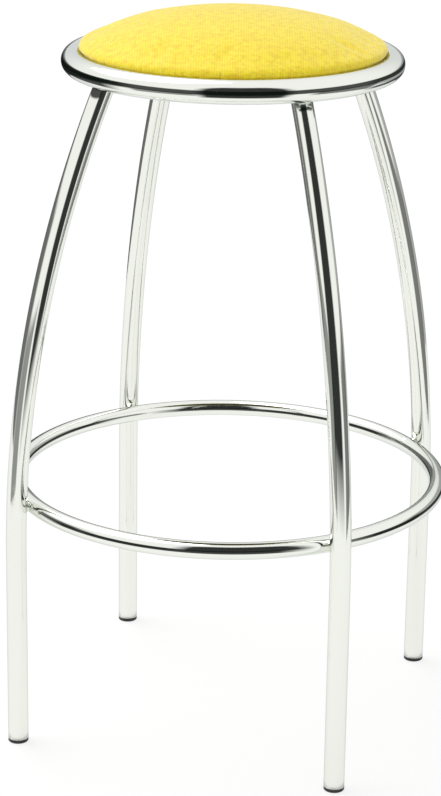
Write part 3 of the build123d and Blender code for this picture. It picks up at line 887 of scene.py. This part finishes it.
def hang_rails(azimuth, velvet):
    """Thin dark rails beside both hoops, which draw the dark line that runs round each."""
    depth = 0.93
    for name, (start, end, gap, bottom, top) in SEAT_RAILS.items():
        hang_curtain(name, azimuth, velvet, start, end, SEAT_RING + SEAT_TUBE + gap,
                     SEAT_RING_HEIGHT + bottom, SEAT_RING_HEIGHT + top, depth)
    # The foot ring has its rails between the legs, clear of each by these degrees
    clear, length = 4, 82
    gap, half = 10 * MM, 6 * MM
    radii = {"outer": FOOT_RING + FOOT_TUBE + gap, "inner": FOOT_RING - FOOT_TUBE - gap}
    for corner in CORNERS:
        start = degrees(leg_angle(corner) + pi / 2 - azimuth) + clear
        for side, radius in radii.items():
            hang_curtain(f"{side}_rail_{corner}", azimuth, velvet, start, start + length, radius,
                         FOOT_RING_HEIGHT - half, FOOT_RING_HEIGHT + half, depth)


def hang_shade(velvet):
    """Painted shade: a round dark sheet under the seat, seen only in reflections from below, that stands in
    for the seat's shaded underside and draws the thin dark line on top of the foot ring.
    """
    steps = 64
    height = LEG_TOP - 15 * MM
    inner, outer, depth = 150 * MM, 166 * MM, 0.9
    turns = [2 * pi * step / steps for step in range(steps)]
    points = [(radius * cos(turn), radius * sin(turn), height) for radius in (inner, outer) for turn in turns]
    faces = [list(reversed(range(steps)))]
    faces += [(s, (s + 1) % steps, steps + (s + 1) % steps, steps + s) for s in range(steps)]
    show_to_chrome("seat_shade", points, faces, [depth] * steps + [0] * steps, velvet)


def place_camera(scene, stage):
    """The camera where the photograph was taken from."""
    lens = bpy.data.cameras.new("photo_camera")
    lens.lens = stage.lens
    lens.sensor_width = 36
    camera = bpy.data.objects.new("photo_camera", lens)
    scene.collection.objects.link(camera)
    place = Matrix.Rotation(stage.azimuth, 4, "Z") @ Matrix.Translation((0, -stage.distance, stage.height))
    aim = Matrix.Rotation(-stage.pan, 4, "Z") @ Matrix.Rotation(pi / 2 - stage.pitch, 4, "X")
    camera.matrix_world = place @ aim @ Matrix.Rotation(stage.roll, 4, "Z")
    scene.camera = camera


# Operators

class STOOL_OT_bend_legs(bpy.types.Operator):
    """Bend the four leg tubes"""
    bl_idname = "bar_stool.bend_legs"
    bl_label = "Bend Legs"

    def execute(self, context):
        tube = context.scene.bar_stool.tube
        plate = finish("chrome_plate_on_drawn_tube", chrome_plate, tube.plate_colour, "tube_place")
        tree = tube_tree()
        for corner in CORNERS:
            path = leg_path(tube, leg_angle(corner))
            piece = new_piece("chrome_leg_" + corner, path_mesh("leg_path", path))
            grow(piece, tree, diameter=2 * LEG_TUBE, sides=tube.sides, cut_height=LEG_TOP, finish=plate)
            face_outwards(piece.data, path)
            wall = piece.modifiers.new("Wall", "SOLIDIFY")
            wall.thickness = tube.wall
            wall.offset = -1
            settle(piece)
            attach(piece, BODY)
            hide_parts("leg_" + corner)
        return {"FINISHED"}


class STOOL_OT_roll_hoops(bpy.types.Operator):
    """Roll the seat ring and the foot ring"""
    bl_idname = "bar_stool.roll_hoops"
    bl_label = "Roll Hoops"

    def execute(self, context):
        tube = context.scene.bar_stool.tube
        plate = finish("chrome_plate_on_drawn_tube", chrome_plate, tube.plate_colour, "tube_place")
        tree = tube_tree()
        inner_side = Matrix.Translation((SEAT_RING - SEAT_TUBE, 0, SEAT_RING_HEIGHT))
        inwards = inner_side @ Matrix.Rotation(pi / 2, 4, "Y")
        downwards = Matrix.Translation((FOOT_RING, 0, FOOT_RING_HEIGHT - FOOT_TUBE))
        for node, drain_place in (("seat_ring", inwards), ("foot_ring", downwards)):
            radius, height, tube_radius = hoop_sizes(node)
            path = hoop_path(radius, height)
            piece = new_piece("chrome_" + node, path_mesh("hoop_path", path, closed=True))
            grow(piece, tree, diameter=2 * tube_radius, sides=tube.sides, cut_height=2 * height, finish=plate)
            face_outwards(piece.data, path)
            drill(piece, drain_place, tube.drain, tube_radius, plate)
            polish_hoop(piece.data, radius, height)
            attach(piece, BODY)
            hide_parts(node)
        return {"FINISHED"}


class STOOL_OT_weld_joints(bpy.types.Operator):
    """Weld the hoops to the legs"""
    bl_idname = "bar_stool.weld_joints"
    bl_label = "Weld Joints"

    def execute(self, context):
        tube = context.scene.bar_stool.tube
        plate = finish("chrome_plate_on_weld", chrome_plate, tube.plate_colour, None, (0.12, 0.3))
        loop_width, loop_height = 4.6 * MM, 4.2 * MM
        tree = weld_tree()
        radius, centre = bow(tube)
        seat_lean = asin((SEAT_RING_HEIGHT - tube.upright) / (radius + LEG_TUBE + tube.weld_gap + SEAT_TUBE))
        foot_lean = asin((FOOT_RING_HEIGHT - tube.upright) / (radius - LEG_TUBE - tube.weld_gap - FOOT_TUBE))
        joints = {
            "leg_welds": (radius + LEG_TUBE + tube.weld_gap / 2, seat_lean),
            "foot_ring_welds": (radius - LEG_TUBE - tube.weld_gap / 2, foot_lean),
        }
        for seed, (node, (along, lean)) in enumerate(joints.items()):
            reach = centre + along * cos(lean)
            height = tube.upright + along * sin(lean)
            places = [weld_place(leg_angle(corner), reach, height, lean) for corner in CORNERS]
            piece = new_piece("chrome_" + node, joint_mesh("joints", places))
            grow(piece, tree, ripples=tube.weld_ripples, bead_radius=tube.weld_radius,
                 loop_width=loop_width, loop_height=loop_height, seed=seed, finish=plate)
            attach(piece, BODY)
            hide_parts(node)
        return {"FINISHED"}


class STOOL_OT_upholster_pad(bpy.types.Operator):
    """Fill the pad and cover it with cloth"""
    bl_idname = "bar_stool.upholster_pad"
    bl_label = "Upholster Pad"

    def execute(self, context):
        settings = context.scene.bar_stool
        pad = settings.pad
        cloth = finish("yellow_plain_woven_cloth", woven_cloth, pad, -settings.stage.azimuth)
        outline = pad_outline(pad, 0)
        outline += hem_outline(pad, outline[-1][0])
        steps_in_pleat = 12
        mesh = lathe("seat_pad", outline, steps_in_pleat * pad.pleats)
        lay_cloth(mesh, swell(pad))
        gather_hem(mesh, pad)
        mesh.shade_smooth()
        mesh.materials.append(cloth)
        piece = new_piece("seat_pad", mesh)
        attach(piece, BODY)
        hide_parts("seat_cover", "seat_foam")
        return {"FINISHED"}


class STOOL_OT_staple_hem(bpy.types.Operator):
    """Staple the cloth's hem under the board"""
    bl_idname = "bar_stool.staple_hem"
    bl_label = "Staple Hem"

    def execute(self, context):
        zinc = finish("zinc_plate_on_steel", zinc_plate)
        low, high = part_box("cover_staples")
        row_radius, per_gap, blocked = 128.95 * MM, 8, radians(9.6)
        width, wire, inset, crooked = 9.4 * MM, 0.9 * MM, 0.3 * MM, radians(7)
        places = []
        for corner in CORNERS:
            start = leg_angle(corner) + blocked
            for number in range(per_gap):
                turn = start + (pi / 2 - 2 * blocked) * number / (per_gap - 1)
                spot = Matrix.Translation((row_radius, 0, low.z + inset))
                places.append(Matrix.Rotation(turn, 4, "Z") @ spot)
        piece = new_piece("hem_staples", joint_mesh("staple_row", places))
        grow(piece, staple_tree(), width=width, depth=high.z - low.z - 2 * inset, wire=wire,
             crooked=crooked, seed=3, finish=zinc)
        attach(piece, BODY)
        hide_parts("cover_staples")
        return {"FINISHED"}


class STOOL_OT_finish_hardware(bpy.types.Operator):
    """Give the board, brackets, fasteners and glides their finishes"""
    bl_idname = "bar_stool.finish_hardware"
    bl_label = "Finish Hardware"

    def execute(self, context):
        tube = context.scene.bar_stool.tube
        pressed = finish("chrome_plate_on_pressed_steel", chrome_plate, tube.plate_colour, None, (0.08, 0.2))
        zinc = finish("zinc_plate_on_steel", zinc_plate)
        black = finish("black_moulded_polyethylene", moulded_polyethylene)
        dress("seat_board", finish("birch_plywood_face_veneer", birch_plywood))
        for node in ("seat_screws", "seat_washers", "tee_nuts"):
            dress(node, zinc)
        for corner in CORNERS:
            dress("seat_bracket_" + corner, pressed)
            dress("glide_" + corner, black)
        return {"FINISHED"}


class STOOL_OT_set_stage(bpy.types.Operator):
    """Lay the white floor, hang the light and the dark curtains, and place the camera"""
    bl_idname = "bar_stool.set_stage"
    bl_label = "Set Stage"

    def execute(self, context):
        scene = context.scene
        stage = scene.bar_stool.stage
        scene.view_settings.view_transform = "Standard"
        lay_floor()
        light_world(scene, stage)
        hang_lamp(stage)
        velvet = black_velvet("black_velvet")
        for name, sizes in CURTAINS.items():
            hang_curtain(name, stage.azimuth, velvet, *sizes)
        hang_rails(stage.azimuth, velvet)
        # Painted shade under the seat, which only the chrome sees
        hang_shade(black_velvet("one_sided_velvet", one_sided=True))
        place_camera(scene, stage)
        return {"FINISHED"}


class STOOL_PT_panel(bpy.types.Panel):
    """Steps and sizes of the stool"""
    bl_idname = "STOOL_PT_panel"
    bl_label = "Bar Stool"
    bl_space_type = "VIEW_3D"
    bl_region_type = "UI"
    bl_category = "Bar Stool"

    def draw(self, context):
        for step in STEPS:
            self.layout.operator(step.bl_idname)
        settings = context.scene.bar_stool
        for group in (settings.tube, settings.pad, settings.stage):
            column = self.layout.column(align=True)
            for name in group.__annotations__:
                column.prop(group, name)


STEPS = (
    STOOL_OT_bend_legs,
    STOOL_OT_roll_hoops,
    STOOL_OT_weld_joints,
    STOOL_OT_upholster_pad,
    STOOL_OT_staple_hem,
    STOOL_OT_finish_hardware,
    STOOL_OT_set_stage,
)
CLASSES = (StoolTubeSettings, StoolPadSettings, StoolStageSettings, StoolSettings, *STEPS, STOOL_PT_panel)


def register():
    for cls in CLASSES:
        bpy.utils.register_class(cls)
    bpy.types.Scene.bar_stool = PointerProperty(type=StoolSettings)


def unregister():
    del bpy.types.Scene.bar_stool
    for cls in reversed(CLASSES):
        bpy.utils.unregister_class(cls)


def main():
    register()
    bpy.ops.bar_stool.bend_legs()
    bpy.ops.bar_stool.roll_hoops()
    bpy.ops.bar_stool.weld_joints()
    bpy.ops.bar_stool.upholster_pad()
    bpy.ops.bar_stool.staple_hem()
    bpy.ops.bar_stool.finish_hardware()
    bpy.ops.bar_stool.set_stage()


if __name__ == "__main__":
    main()
